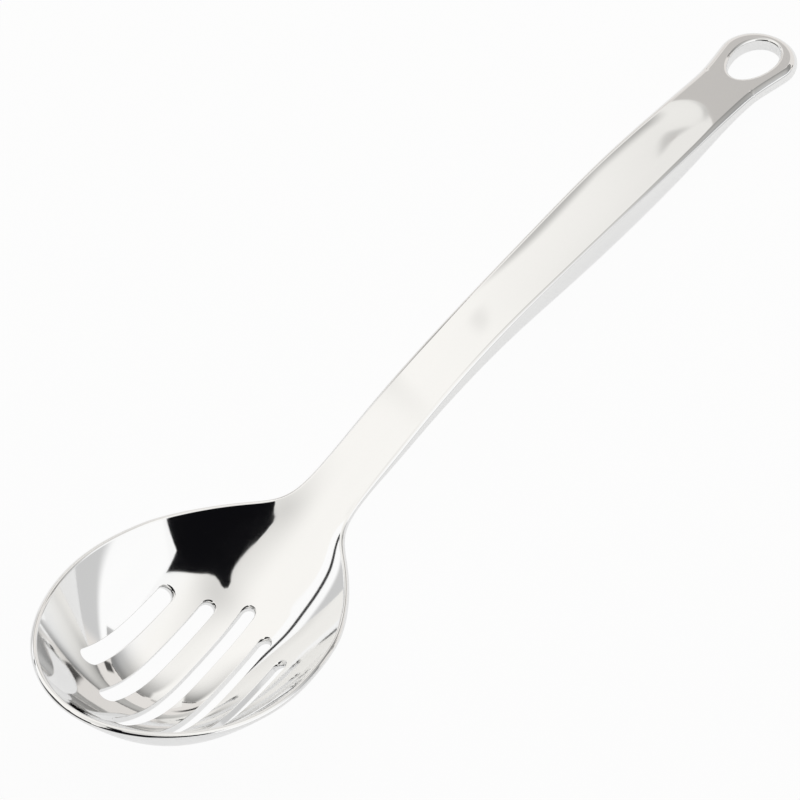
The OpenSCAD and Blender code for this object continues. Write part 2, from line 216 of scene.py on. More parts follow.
def soften(profile, blur, calm_end=LOOP_JOINT - CALM_FADE):
    """Spline through the averaged profile: step, values and bends at its knots."""
    values = profile(GRID)
    reach = np.interp(GRID, [0, *CALM_START, calm_end, calm_end + CALM_FADE],
                      [blur, blur, CALM_TIMES * blur, CALM_TIMES * blur, blur])
    w = np.exp(-0.5 * ((GRID[None, :] - GRID[:, None]) / reach[:, None]) ** 2)
    w /= w.sum(1, keepdims=True)
    once = w @ values
    v = (2 * once - w @ once)[::KNOT_STEP]
    h = GRID[KNOT_STEP] - GRID[0]
    n = len(v)
    links = 4 * np.eye(n - 2) + np.eye(n - 2, k=1) + np.eye(n - 2, k=-1)
    bend = np.zeros(n)
    bend[1:-1] = np.linalg.solve(links, 6 * (v[2:] - 2 * v[1:-1] + v[:-2]) / h ** 2)
    return h, v, bend


def along(spline, s):
    h, v, bend = spline
    x = (np.asarray(s, float) - GRID[0]) / h
    i = np.clip(np.floor(x).astype(int), 0, len(v) - 2)
    b = x - i
    a = 1 - b
    bent = (a ** 3 - a) * bend[i] + (b ** 3 - b) * bend[i + 1]
    return a * v[i] + b * v[i + 1] + bent * h * h / 6


WIDTH_BLUR = 3.0
HEIGHT_BLUR = 4.0
SOFT_WIDTH = soften(plain_half_width, WIDTH_BLUR)
SOFT_EDGE = soften(plain_edge, HEIGHT_BLUR)
SOFT_DISH = soften(plain_dish, HEIGHT_BLUR, CHANNEL_CALM_END)
SOFT_THICK = soften(plain_thickness, WIDTH_BLUR)


def softened(plain, spline, s):
    """The spline between the tip and the loop, and the plain profile at both ends."""
    s = np.asarray(s, float)
    past_tip = ease((s - TIP_FADE[0]) / TIP_FADE[1])
    before_end = 1 - ease((s - END_FADE[0]) / END_FADE[1])
    return mix(plain(s), along(spline, s), past_tip * before_end)


def half_width(s):
    return softened(plain_half_width, SOFT_WIDTH, s)


def edge_z(s):
    return softened(plain_edge, SOFT_EDGE, s)


def dish(s):
    return softened(plain_dish, SOFT_DISH, s)


def thickness(s):
    return softened(plain_thickness, SOFT_THICK, s)


def top_z(s, y):
    """Height of the upper surface; the channel's end is bowed towards the loop."""
    e = np.abs(y) / np.maximum(half_width(s), LEAST_HALF_WIDTH)
    bowed = s + CHANNEL_BOW * np.minimum(e, 1) ** 2 * ease((s - BOW_FADE[0]) / BOW_FADE[1])
    return edge_z(s) - dish(bowed) * (1 - e ** BOWL_POWER)


def slopes(f, s, y, h=0.004):
    return (f(s + h, y) - f(s - h, y)) / (2 * h), (f(s, y + h) - f(s, y - h)) / (2 * h)


def top_slopes(s, y):
    return slopes(top_z, np.maximum(s, TIP_SET + TIP_CLEARANCE), y)


def square_to(s, y):
    """Directions square to the upper surface."""
    a, b = top_slopes(s, y)
    n = np.stack([-a, -b, np.ones_like(a)], -1)
    return n / np.linalg.norm(n, axis=-1, keepdims=True)


def inside_tip(s, y):
    x = np.clip((WIDEST - s) / NOSE, 0, None)
    return 1 - x ** TIP_POWER - (2 * np.abs(y) / BOWL_W) ** TIP_POWER


def inside_sides(s, y):
    return 1 - np.abs(y) / np.maximum(half_width(s), 1e-6)


def rim_distance(s, y):
    """Distance to the rim, measured along the upper surface."""
    zs, zy = top_slopes(s, y)
    tip, sides = [(f(s, y), *slopes(f, s, y)) for f in (inside_tip, inside_sides)]
    f, fs, fy = (np.where(s < TIP_RIM_END, a, b) for a, b in zip(tip, sides))
    g = fs ** 2 + fy ** 2 - (fs * zs + fy * zy) ** 2 / (1 + zs ** 2 + zy ** 2)
    return np.maximum(f, 0) / np.sqrt(np.maximum(g, 1e-12))


def round_drop(d, r):
    """How far a rounded edge of radius r drops at the distance d from it."""
    u = r - np.clip(d, 0, r)
    return r - np.sqrt(np.maximum(r * r - u * u, 0))


# Points of half a section: on its face, rounding, wall and belly, and on the belly above the
# seam. HALF_N is all of them, SEAM_U the seam's place among them, RING_N a whole section.
FACE_N, ROUND_N, WALL_N = 40, 7, 3
BELLY_N = FACE_N + ROUND_N + 1
PARTING = 8
HALF_N = FACE_N + ROUND_N + 1 + WALL_N + BELLY_N
SEAM_U = FACE_N + ROUND_N + 1 + WALL_N + PARTING - 1
RING_N = 2 * HALF_N - 2

# The section's curves: the seam's place on the belly and its widest share of it, how the points
# crowd towards the flank, and limits of the rounding and the flank
SEAM_A = math.radians(9)
SEAM_SHARE = 0.12
CROWD_ABOVE, CROWD_UNDER = 1.6, 1.25
NEAR_EDGE = 0.97
WIDEST_ROUND = 0.45
FLANK_SPARE = 0.3
LEAST_SIZE = 0.01


def half_ring(s, inset=0.0):
    """Right half of each section, from the top middle over edge and flank to the bottom middle."""
    s = np.asarray(s, float)[:, None]
    k = 1 - ease((s - FOOT) / (RUNOUT_END - FOOT))
    w = np.maximum(half_width(s) - inset, 0)
    zy = top_slopes(s, NEAR_EDGE * w)[1]
    r = mix(plain_round(s), RIM_ROUND, k) * (1 - 0.5 * inset / WALL)
    rim = np.minimum(r / (np.maximum(w, LEAST_SIZE) * np.sqrt(1 + zy ** 2)), WIDEST_ROUND)
    face = (1 - rim) * np.sin(np.linspace(0, math.pi / 2, FACE_N, endpoint=False))[None, :]
    turn = 1 - rim * (1 - np.sin(np.linspace(0, math.pi / 2, ROUND_N + 1)))[None, :]
    e = np.concatenate([face, turn], 1)
    y = e * w
    if inset:
        d = w - y
    else:
        d = rim_distance(s + 0 * y, y)
    drop = round_drop(d, r)
    n = square_to(s + 0 * y, y)
    lean = mix(np.array([0, 0, 1.0]), n, k[..., None])
    top = np.stack([s + 0 * y, y, top_z(s, e * half_width(s)) - inset], -1)
    top = top - drop[..., None] * lean

    # The wall falls plumb on the handle and square to the sheet on the bowl
    flank = np.maximum(FLANK, r + FLANK_SPARE) + 0.5 * inset
    t = thickness(s)
    wall_d = np.concatenate([mix(r, mix(flank, t - r, k), (i + 1) / (WALL_N + 1))
                             for i in range(WALL_N)], 1)
    plain = np.stack([s + 0 * wall_d, w + 0 * wall_d,
                      edge_z(s) - np.maximum(wall_d, inset + r)], -1)
    sheet = np.stack([s, w, top_z(s, half_width(s))], -1) - wall_d[..., None] * square_to(s, w)
    wall = mix(plain, sheet, k[..., None])

    # The belly, with the seam's bead at an even height on its flank
    fall = np.maximum(t - inset - flank, LEAST_SIZE)
    gap = np.minimum(BEAD, SEAM_SHARE * fall)
    seam_d = fall * math.sin(SEAM_A) ** (2 / BELLY)
    above, below = [np.arcsin(np.clip((seam_d + step) / fall, 0, 1) ** (BELLY / 2))
                    for step in (-gap, gap)]
    low = np.linspace(0, 1, PARTING)[None, :] ** CROWD_ABOVE * above
    share = np.linspace(0, 1, BELLY_N - PARTING - 1) ** CROWD_UNDER
    under = mix(below, math.pi / 2, share[None, :])
    a = np.concatenate([low, SEAM_A + 0 * s, under], 1)
    eh = np.cos(a).clip(0) ** (2 / BELLY)
    dh = flank + fall * np.sin(a) ** (2 / BELLY)
    es = e[:, ::-1]
    ds = t - drop[:, ::-1]
    eb = mix(eh, es, k)
    db = mix(dh, ds, k)
    yb = eb * w
    plain = np.stack([s + 0 * yb, yb, edge_z(s) - db], -1)
    ys = eb * half_width(s)
    sheet = np.stack([s + 0 * yb, ys, top_z(s, ys)], -1)
    sheet = sheet - db[..., None] * square_to(s + 0 * ys, ys)
    bottom = mix(plain, sheet, k[..., None])
    return np.concatenate([top, wall, bottom], 1)


def full_ring(s, inset=0.0):
    """Whole sections, from the top middle round the right side and back over the left."""
    h = half_ring(s, inset)
    left = h[:, -2:0:-1] * np.array([1, -1, 1])
    return np.concatenate([h, left], 1)


def shade(p, closed=True):
    """Directions square to a grid of points, from its rows and columns."""
    dr = np.gradient(p, axis=0)
    dc = (np.roll(p, -1, 1) - np.roll(p, 1, 1)) if closed else np.gradient(p, axis=1)
    n = np.cross(dc, dr)
    size = np.linalg.norm(n, axis=-1, keepdims=True)
    return n / np.maximum(size, 1e-12)


MERGE_DIST = 2e-7


def skin_mesh(name, points, normals, wrap=False):
    """A grid of faces laid over the points, closed round its columns, with doubles merged."""
    rows, cols = points.shape[:2]
    pts = np.concatenate([points, points[:, :1]], 1)
    if wrap:
        pts = np.concatenate([pts, pts[:1]], 0)
    bm = bmesh.new()
    bmesh.ops.create_grid(bm, x_segments=pts.shape[1] - 1, y_segments=pts.shape[0] - 1, size=1)
    bm.verts.ensure_lookup_table()
    place = bm.verts.layers.int.new("place")
    for v, (i, c) in zip(bm.verts, enumerate(pts.reshape(-1, 3).tolist())):
        v.co = ((c[0] - SPOON_LEN / 2) / 1000, c[1] / 1000, c[2] / 1000)
        r, q = divmod(i, pts.shape[1])
        v[place] = (r % rows) * cols + q % cols
    bmesh.ops.remove_doubles(bm, verts=bm.verts, dist=MERGE_DIST)
    open_ends = [e for e in bm.edges if e.is_boundary]
    if open_ends:
        caps = bmesh.ops.holes_fill(bm, edges=open_ends, sides=0)["faces"]
        bmesh.ops.triangulate(bm, faces=caps)
        bmesh.ops.recalc_face_normals(bm, faces=bm.faces)
    if bm.calc_volume(signed=True) < 0:
        bmesh.ops.reverse_faces(bm, faces=bm.faces)
    shading = None
    if normals is not None:
        given = normals.reshape(-1, 3).tolist()
        shading = [given[v[place]] for v in bm.verts]
    return finish_mesh(name, bm, shading)


def finish_mesh(name, bm, shading):
    """A linked object from a bmesh, with the given shading or its own."""
    me = bpy.data.meshes.new(name)
    for f in bm.faces:
        f.smooth = True
    bm.to_mesh(me)
    bm.free()
    if shading is not None:
        own = [v.normal for v in me.vertices]
        good = [Vector(n) if Vector(n).length > 0.5 else o for n, o in zip(shading, own)]
        me.normals_split_custom_set_from_vertices(good)
    o = bpy.data.objects.new(name, me)
    bpy.context.scene.collection.objects.link(o)
    return o


# Rows of sections along the whole spoon, closer at the tip and at both joints
TIP_N, RUNOUT_N, NECK_N, SHELL_N = 61, 76, 24, 124
PAST_JOINT = 1.2
tip_rows = WIDEST - NOSE * np.cos(np.linspace(0, math.pi / 2, TIP_N))
bowl_rows = np.concatenate([tip_rows, np.linspace(WIDEST, RUNOUT_END, RUNOUT_N)[1:],
                            np.linspace(RUNOUT_END, NECK_JOINT - GROOVE, NECK_N)[1:]])
neck_rows = np.array([NECK_JOINT, NECK_JOINT + GROOVE])
shell_rows = np.linspace(NECK_JOINT + GROOVE, LOOP_JOINT - GROOVE, SHELL_N)[1:]
after_rows = np.array([LOOP_JOINT, LOOP_JOINT + GROOVE, LOOP_JOINT + PAST_JOINT])
places = np.concatenate([bowl_rows, neck_rows, shell_rows, after_rows])
skin = full_ring(places)
skin_n = shade(skin)
n_bowl = len(bowl_rows)
n_joint = n_bowl + len(neck_rows)
n_shell = n_joint + len(shell_rows)
if skin_n[n_bowl, 0, 2] < 0:
    skin_n = -skin_n


def spigot(s, way, flush):
    """Sections of a spigot from s, after the flush ones that it starts from."""
    d = WALL + SPIGOT_GAP
    rows = [full_ring([s], d), full_ring([s + way * (SPIGOT_LEN - GROOVE)], d),
            full_ring([s + way * SPIGOT_LEN], d + GROOVE)]
    return np.concatenate(flush + rows, 0)


def with_normals(p, extra):
    return np.concatenate([p, np.zeros(extra.shape)], 0)


# The head: bowl and neck in one skin, then the slots cut through it
tail = spigot(NECK_JOINT, 1, [full_ring([NECK_JOINT], GROOVE)])
head_points = np.concatenate([skin[:n_bowl], tail], 0)
head_normals = with_normals(skin_n[:n_bowl], tail)
head = skin_mesh("slotted_bowl_skin", head_points, head_normals)


def surface_point(s, y, depth):
    return np.stack([s, y, top_z(s, y)], -1) - depth[..., None] * square_to(s, y)


# A slot's cutter: points round each end and along each side, and the depths of its rows
SLOT_END_N, SLOT_SIDE_N = 17, 34
SLOT_DEPTHS = (-0.5, -0.12, 0.0, 0.06, 0.14, 0.25, 0.4, 0.6, 0.85, 1.1, 1.4, 1.7, 1.8, 1.88, 1.94,
               2.0, 2.12, 2.5)
FLARE_SHARE, FLARE_LEAST = 0.97, 0.02
NECK_END_POWER = 1.5


def flare(depth, r):
    """How much wider a rounded edge of radius r is at a depth below its face."""
    u = (r - np.minimum(depth, r)) / r * FLARE_SHARE
    return r * (1 - np.sqrt(np.maximum(1 - u * u, FLARE_LEAST)))


def slot_cutter(y0, length):
    """A slot's cutter, square to the sheet, opening a little towards both faces."""
    r = SLOT_W / 2
    straight = length / 2 - r
    turn = np.radians(np.linspace(-90, 90, SLOT_END_N))
    side = np.linspace(-1, 1, SLOT_SIDE_N)[1:-1] * straight
    x = np.concatenate([straight + r * np.cos(turn), side[::-1],
                        -straight - r * np.cos(turn), side])
    y = np.concatenate([r * np.sin(turn), r + 0 * side, -r * np.sin(turn), -r + 0 * side])
    nx = np.concatenate([np.cos(turn), 0 * side, -np.cos(turn), 0 * side])
    ny = np.concatenate([np.sin(turn), 1 + 0 * side, -np.sin(turn), -1 + 0 * side])
    s = SLOTS_MIDDLE + x
    yy = y0 + y
    zs, zy = slopes(top_z, s, yy)
    stretch = np.sqrt(1 + (nx * zs + ny * zy) ** 2)
    upper = mix(SLOT_ROUND, NECK_END_ROUND, np.clip(nx, 0, 1) ** NECK_END_POWER)
    rows = []
    for depth in SLOT_DEPTHS:
        o = (flare(depth, upper) + flare(SHEET_T - depth, SLOT_ROUND)) / stretch
        rows.append(surface_point(s + o * nx, yy + o * ny, np.full_like(s, depth)))
    return np.stack(rows, 0)


def cut(body, cutters):
    """The body's mesh with the cutters taken out of it."""
    for i, c in enumerate(cutters):
        m = body.modifiers.new("cut%d" % i, "BOOLEAN")
        m.operation = "DIFFERENCE"
        m.solver = "EXACT"
        m.object = c
    graph = bpy.context.evaluated_depsgraph_get()
    me = bpy.data.meshes.new_from_object(body.evaluated_get(graph))
    body.modifiers.clear()
    return me


def carry_normals(me, source, tol=8e-6, least_area=1e-16):
    """Shading of the uncut skin on what is left of it; a cut's walls get their own."""
    bm = bmesh.new()
    bm.from_mesh(source)
    bmesh.ops.triangulate(bm, faces=bm.faces)
    tree = BVHTree.FromBMesh(bm)
    corners = [[(v.index, v.co.copy()) for v in f.verts] for f in bm.faces]
    bm.free()
    given = {}
    for loop, normal in zip(source.loops, source.corner_normals):
        given[loop.vertex_index] = normal.vector.copy()
    kept = []
    for v in me.vertices:
        co, _, i, dist = tree.find_nearest(v.co)
        (a, pa), (b, pb), (c, pc) = corners[i]
        area = (pb - pa).cross(pc - pa).length
        if dist > tol or area < least_area:
            kept.append(v.normal.copy())
            continue
        wa = (pb - co).cross(pc - co).length / area
        wb = (pc - co).cross(pa - co).length / area
        wc = (pa - co).cross(pb - co).length / area
        kept.append((given[a] * wa + given[b] * wb + given[c] * wc).normalized())
    wall_faces = [p for p in me.polygons if tree.find_nearest(p.center)[3] > tol]
    own = [Vector((0, 0, 0)) for _ in me.vertices]
    for p in wall_faces:
        for i in p.vertices:
            own[i] += p.normal * p.area
    out = [kept[loop.vertex_index] for loop in me.loops]
    for p in wall_faces:
        for li in p.loop_indices:
            out[li] = own[me.loops[li].vertex_index].normalized()
    return out


cutters = []
for side in (-2, -1, 0, 1, 2):
    p = slot_cutter(side * SLOT_PITCH, SLOT_LENGTHS[abs(side)])
    cutters.append(skin_mesh("slot_cutter_%d" % (side + 2), p, None))
slotted = cut(head, cutters)
shading = carry_normals(slotted, head.data)
for p in slotted.polygons:
    p.use_smooth = True
slotted.normals_split_custom_set(shading)
head.data = slotted
for c in cutters:
    bpy.data.objects.remove(c)

# The two pressed shells of the handle, with the root of the seams' grooves between them
SEAM_DEPTH = 0.5
on_shell = slice(n_joint - 1, n_shell)
inner = full_ring(np.concatenate([[NECK_JOINT], places[on_shell], [LOOP_JOINT]]), WALL)
outer = np.concatenate([full_ring([NECK_JOINT], GROOVE), skin[on_shell],
                        full_ring([LOOP_JOINT], GROOVE)], 0)
outer_n = np.concatenate([skin_n[n_joint - 1:n_joint], skin_n[on_shell],
                          skin_n[n_shell - 1:n_shell]], 0)
PART = SEAM_U + 1
groove_root = mix(outer[:, PART], inner[:, PART], SEAM_DEPTH / WALL)
flip = np.array([1, -1, 1])


def shell(name, cols):
    """A pressed wall: outer columns, the groove's root, the inner columns back, closed ends."""
    out, n_out = outer[:, cols], outer_n[:, cols]
    inn = inner[:, cols]
    first, last = (groove_root * flip)[:, None], groove_root[:, None]
    if cols[0] < HALF_N:
        first, last = last, first
    band = np.concatenate([out, last, inn[:, ::-1], first], 1)
    zero = np.zeros_like(first)
    band_n = np.concatenate([n_out, zero, np.zeros_like(inn), zero], 1)
    return skin_mesh(name, band, band_n)


top_cols = np.concatenate([np.arange(RING_N - SEAM_U, RING_N), np.arange(0, SEAM_U + 1)])
low_cols = np.arange(SEAM_U + 2, RING_N - SEAM_U - 1)
top_shell = shell("handle_top_skin", top_cols)
bottom_shell = shell("handle_bottom_skin", low_cols)


# Weld beads, ground flush with the skin
def ring_bead(name, i):
    ring = np.concatenate([skin[i - 1:i + 2], full_ring([places[i]], GROOVE)], 0)
    ring_n = np.concatenate([skin_n[i - 1:i + 2], 0 * skin_n[:1]], 0)
    return skin_mesh(name, ring, ring_n, wrap=True)


def seam_bead(name, side):
    bottom = groove_root[1:-1][:, None]
    p = np.concatenate([skin[on_shell, SEAM_U:SEAM_U + 3], bottom], 1)
    n = np.concatenate([skin_n[on_shell, SEAM_U:SEAM_U + 3], 0 * bottom], 1)
    if side < 0:
        p, n = p * flip, n * flip
    return skin_mesh(name, p, n)


neck_bead = ring_bead("neck_weld_skin", n_bowl)
loop_bead = ring_bead("loop_weld_skin", n_shell)
seam_left = seam_bead("seam_weld_left_skin", 1)
seam_right = seam_bead("seam_weld_right_skin", -1)

# The cast end: a rounded bar round the eye, drawn in to the handle's section at the joint
EYE_S = SPOON_LEN - EYE_FROM_END - EYE_LEN / 2
BAR_FADE = 0.7
BAR_FLANK_N, BAR_END_N, BAR_ROWS = 26, 61, 25
BAR_WALL = (0.25, 0.5, 0.75)


def eye_point(a):
    return EYE_S + EYE_LEN / 2 * np.cos(a), EYE_W / 2 * np.sin(a) * (1 + EYE_EGG * np.cos(a))


def outside_eye(s, y):
    """Nought on the eye's outline, less inside it and more outside."""
    x = (s - EYE_S) / (EYE_LEN / 2)
    return np.hypot(x, y / (EYE_W / 2 * (1 + EYE_EGG * np.clip(x, -1, 1)))) - 1


def bar_heights(s, y):
    """Upper and lower height of the cast end over a point of its plan."""
    q = ease((s - LOOP_JOINT) / ((LOOP_MID - LOOP_JOINT) * BAR_FADE))
    w = half_width(s)
    slope = slopes(lambda a, b: half_width(a) + 0 * b, s, y)[0]
    flank_d = (w - np.abs(y)) / np.sqrt(1 + slope ** 2)
    end_d = LOOP_R - np.hypot(s - LOOP_MID, y)
    d = np.maximum(np.where(s < LOOP_MID, flank_d, end_d), 0)
    mid = edge_z(s) - LOOP_HALF
    hollow = edge_z(s) - top_z(s, y)
    e = np.clip(np.abs(y) / np.maximum(w, LEAST_SIZE), 0, 1)
    flank = max(FLANK, LOOP_ROUND + FLANK_SPARE)
    above = LOOP_HALF - round_drop(d, LOOP_ROUND)
    belly = LOOP_HALF - flank - (LOOP_T - flank) * (1 - e ** BELLY) ** (1 / BELLY)
    below = mix(belly, round_drop(d, LOOP_UNDER_ROUND) - LOOP_HALF, q)
    f = outside_eye(s, y)
    fs, fy = slopes(outside_eye, s, y)
    eye_d = np.maximum(f, 0) / np.maximum(np.hypot(fs, fy), 1e-9)
    lip = round_drop(eye_d, EYE_ROUND)
    return mid + above - hollow - lip, mid + below + lip


joint_s = LOOP_JOINT + GROOVE
edge_cols = FACE_N + ROUND_N
joint_y = skin[n_shell + 1, :edge_cols + 1, 1]
line = np.concatenate([-joint_y[::-1], joint_y[1:]])[::2]
flank_s = np.linspace(joint_s, LOOP_MID, BAR_FLANK_N)[1:]
turn = np.radians(np.linspace(90, -90, BAR_END_N))[1:-1]
out_s = np.concatenate([flank_s, LOOP_MID + LOOP_R * np.cos(turn), flank_s[::-1],
                        0 * line + joint_s])
out_y = np.concatenate([half_width(flank_s), LOOP_R * np.sin(turn), -half_width(flank_s[::-1]),
                        line])
aim = np.unwrap(np.arctan2(out_y / (EYE_W / 2), (out_s - EYE_S) / (EYE_LEN / 2)))
eye_s, eye_y = eye_point(aim)
t = 0.5 - 0.5 * np.cos(np.linspace(0, math.pi, BAR_ROWS))
plan_s = mix(out_s[None, :], eye_s[None, :], t[:, None])
plan_y = mix(out_y[None, :], eye_y[None, :], t[:, None])
up, low = bar_heights(plan_s, plan_y)
upper = np.stack([plan_s, plan_y, up], -1)
lower = np.stack([plan_s, plan_y, low], -1)[::-1]
walls, eye_walls = [[mix(a, b, u)[None] for u in BAR_WALL]
                    for a, b in ((lower[-1], upper[0]), (upper[-1], lower[0]))]
bar = np.concatenate([upper] + eye_walls + [lower] + walls, 0)
bar_n = np.cross(np.roll(bar, -1, 0) - np.roll(bar, 1, 0),
                 np.roll(bar, -1, 1) - np.roll(bar, 1, 1))
bar_n /= np.maximum(np.linalg.norm(bar_n, axis=-1, keepdims=True), 1e-12)
if bar_n[BAR_ROWS // 4, BAR_END_N // 2, 2] < 0:
    bar_n = -bar_n

# At the joint the bar takes the shading of the handle's section
joint_n = skin_n[n_shell + 1, :edge_cols + 1]
for j, y in enumerate(line, len(out_s) - len(line)):
    v = np.array([np.interp(abs(y), joint_y, joint_n[:, c]) for c in range(3)])
    bar_n[0, j] = v * (1, math.copysign(1, y), 1)
loop = skin_mesh("hanging_loop_skin", np.swapaxes(bar, 0, 1), np.swapaxes(bar_n, 0, 1), wrap=True)
stub = spigot(LOOP_JOINT + GROOVE, -1, [])
stub_piece = skin_mesh("loop_spigot", stub, None)


def join(a, b):
    """Adds the mesh of b to a, shading included."""
    normals = [None] * (len(a.data.vertices) + len(b.data.vertices))
    for o, start in ((a, 0), (b, len(a.data.vertices))):
        for i, n in enumerate(o.data.corner_normals):
            normals[start + o.data.loops[i].vertex_index] = n.vector.copy()
    bm = bmesh.new()
    bm.from_mesh(a.data)
    bm.from_mesh(b.data)
    name = a.name
    bpy.data.objects.remove(a)
    bpy.data.objects.remove(b)
    return finish_mesh(name, bm, normals)


loop = join(loop, stub_piece)
loop.name = "hanging_loop_skin"


# Shading helpers
def maths(tree, operation, a, b=0.0, c=0.0):
    """A maths node; each input is a number or another node's output."""
    n = tree.nodes.new("ShaderNodeMath")
    n.operation = operation
    for socket, value in zip(n.inputs, (a, b, c)):
        if isinstance(value, (int, float)):
            socket.default_value = value
        else:
            tree.links.new(value, socket)
    return n.outputs[0]


def ramp(tree, value, x0, x1, y0, y1):
    """A smooth step from y0 at x0 to y1 at x1."""
    n = tree.nodes.new("ShaderNodeMapRange")
    n.interpolation_type = "SMOOTHSTEP"
    for key, v in (("From Min", x0), ("From Max", x1), ("To Min", y0), ("To Max", y1)):
        n.inputs[key].default_value = v
    tree.links.new(value, n.inputs["Value"])
    return n.outputs["Result"]


def window(tree, value, a, b, c, d):
    """One between b and c, nought before a and past d."""
    return maths(tree, "MULTIPLY", ramp(tree, value, a, b, 0, 1), ramp(tree, value, c, d, 1, 0))


def mixed_by(tree, share, first, second):
    """A shader that is the first one where share is nought and the second where it is one."""
    blend = tree.nodes.new("ShaderNodeMixShader")
    for socket, value in zip(blend.inputs, (share, first, second)):
        tree.links.new(value, socket)
    return blend.outputs[0]


def glowing(tree, level, warmth, tint):
    """The colour of a brightness, white where warmth is nought and tinted where it is one."""
    mixed = tree.nodes.new("ShaderNodeCombineXYZ")
    for key, share in zip("XYZ", tint):
        kept = maths(tree, "SUBTRACT", 1.0, maths(tree, "MULTIPLY", warmth, 1.0 - share))
        tree.links.new(maths(tree, "MULTIPLY", level, kept), mixed.inputs[key])
    return mixed.outputs[0]


def emptied_material(name):
    """A new material, its empty node tree and the socket of its surface."""
    m = bpy.data.materials.new(name)
    m.use_nodes = True
    m.node_tree.nodes.clear()
    out = m.node_tree.nodes.new("ShaderNodeOutputMaterial")
    return m, m.node_tree, out.inputs["Surface"]


# Polished steel: a mirror with a faint haze drawn out along the spoon, and the finest bumps
STEEL_TONE = (0.92, 0.92, 0.915)
POLISHED_ROUGH, GROUND_ROUGH = 0.055, 0.06
HAZE_STRETCH = (12.0, 90.0, 90.0)
HAZE_ROUGH = (0.75, 1.3)
HAZE_TONE = (0.965, 0.965, 0.97)
FINE_SCALE = 45.0
BUMP_STRENGTH, BUMP_HEIGHT = 0.05, 0.0004


def steel_material(name, tone, rough):
    m = bpy.data.materials.new(name)
    m.use_nodes = True
    nt = m.node_tree
    bsdf = nt.nodes["Principled BSDF"]
    bsdf.inputs["Metallic"].default_value = 1.0
    coords = nt.nodes.new("ShaderNodeTexCoord")
    stretch = nt.nodes.new("ShaderNodeMapping")
    stretch.inputs["Scale"].default_value = HAZE_STRETCH
    nt.links.new(coords.outputs["Object"], stretch.inputs["Vector"])
    haze = nt.nodes.new("ShaderNodeTexNoise")
    haze.inputs["Scale"].default_value = 1.0
    haze.inputs["Detail"].default_value = 3.0
    nt.links.new(stretch.outputs["Vector"], haze.inputs["Vector"])
    tint = nt.nodes.new("ShaderNodeMapRange")
    tint.inputs["To Min"].default_value = rough * HAZE_ROUGH[0]
    tint.inputs["To Max"].default_value = rough * HAZE_ROUGH[1]
    nt.links.new(haze.outputs["Fac"], tint.inputs["Value"])
    nt.links.new(tint.outputs["Result"], bsdf.inputs["Roughness"])
    colour = nt.nodes.new("ShaderNodeMix")
    colour.data_type = "RGBA"
    colour.inputs["A"].default_value = (*tone, 1)
    colour.inputs["B"].default_value = (*(a * b for a, b in zip(tone, HAZE_TONE)), 1)
    nt.links.new(haze.outputs["Fac"], colour.inputs["Factor"])
    nt.links.new(colour.outputs["Result"], bsdf.inputs["Base Color"])
    fine = nt.nodes.new("ShaderNodeTexNoise")
    fine.inputs["Scale"].default_value = FINE_SCALE
    fine.inputs["Detail"].default_value = 1.0
    nt.links.new(coords.outputs["Object"], fine.inputs["Vector"])
    bump = nt.nodes.new("ShaderNodeBump")
    bump.inputs["Strength"].default_value = BUMP_STRENGTH
    bump.inputs["Distance"].default_value = BUMP_HEIGHT
    nt.links.new(fine.outputs["Fac"], bump.inputs["Height"])
    nt.links.new(bump.outputs["Normal"], bsdf.inputs["Normal"])
    return m


FINISHES = {
    "polished_steel": steel_material("polished_steel", STEEL_TONE, POLISHED_ROUGH),
    "ground_weld": steel_material("ground_weld", STEEL_TONE, GROUND_ROUGH),
}
PIECES = [
    (head, "slotted_bowl", "polished_steel"),
    (top_shell, "handle_top_shell", "polished_steel"),
    (bottom_shell, "handle_bottom_shell", "polished_steel"),
    (loop, "hanging_loop", "polished_steel"),
    (neck_bead, "neck_weld", "ground_weld"),
    (loop_bead, "loop_weld", "ground_weld"),
    (seam_left, "seam_weld_left", "ground_weld"),
    (seam_right, "seam_weld_right", "ground_weld"),
]
for piece, node, slot in PIECES:
    piece.data.materials.clear()
    piece.data.materials.append(FINISHES[slot])
    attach(piece, "root")
    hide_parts(node)


# Floor and cards of the studio
def flat_piece(name, corners):
    """A flat card with the given corners, in metres."""
    bm = bmesh.new()
    bmesh.ops.create_circle(bm, cap_ends=True, segments=len(corners), radius=1)
    for v, c in zip(bm.verts, corners):
        v.co = c
    me = bpy.data.meshes.new(name)
    bm.to_mesh(me)
    bm.free()
    o = bpy.data.objects.new(name, me)
    bpy.context.scene.collection.objects.link(o)
    return o


# The floor is pale and matte, and brighter to the camera and in the steel
FLOOR_HALF = 6
FLOOR_TONE = 0.9
SEEN_SHARE, MIRRORED_SHARE = 0.95, 0.65
floor = flat_piece("floor", [(x * FLOOR_HALF, y * FLOOR_HALF, 0)
                             for x, y in ((1, 1), (-1, 1), (-1, -1), (1, -1))])
pale_floor, nt, surface = emptied_material("pale_floor")
matte = nt.nodes.new("ShaderNodeBsdfDiffuse")
matte.inputs["Color"].default_value = (FLOOR_TONE, FLOOR_TONE, FLOOR_TONE, 1)
glow = nt.nodes.new("ShaderNodeEmission")
ray = nt.nodes.new("ShaderNodeLightPath")
seen = maths(nt, "MULTIPLY", ray.outputs["Is Camera Ray"], SEEN_SHARE)
share = maths(nt, "MULTIPLY_ADD", ray.outputs["Is Glossy Ray"], MIRRORED_SHARE, seen)
nt.links.new(mixed_by(nt, share, matte.outputs[0], glow.outputs[0]), surface)
floor.data.materials.append(pale_floor)

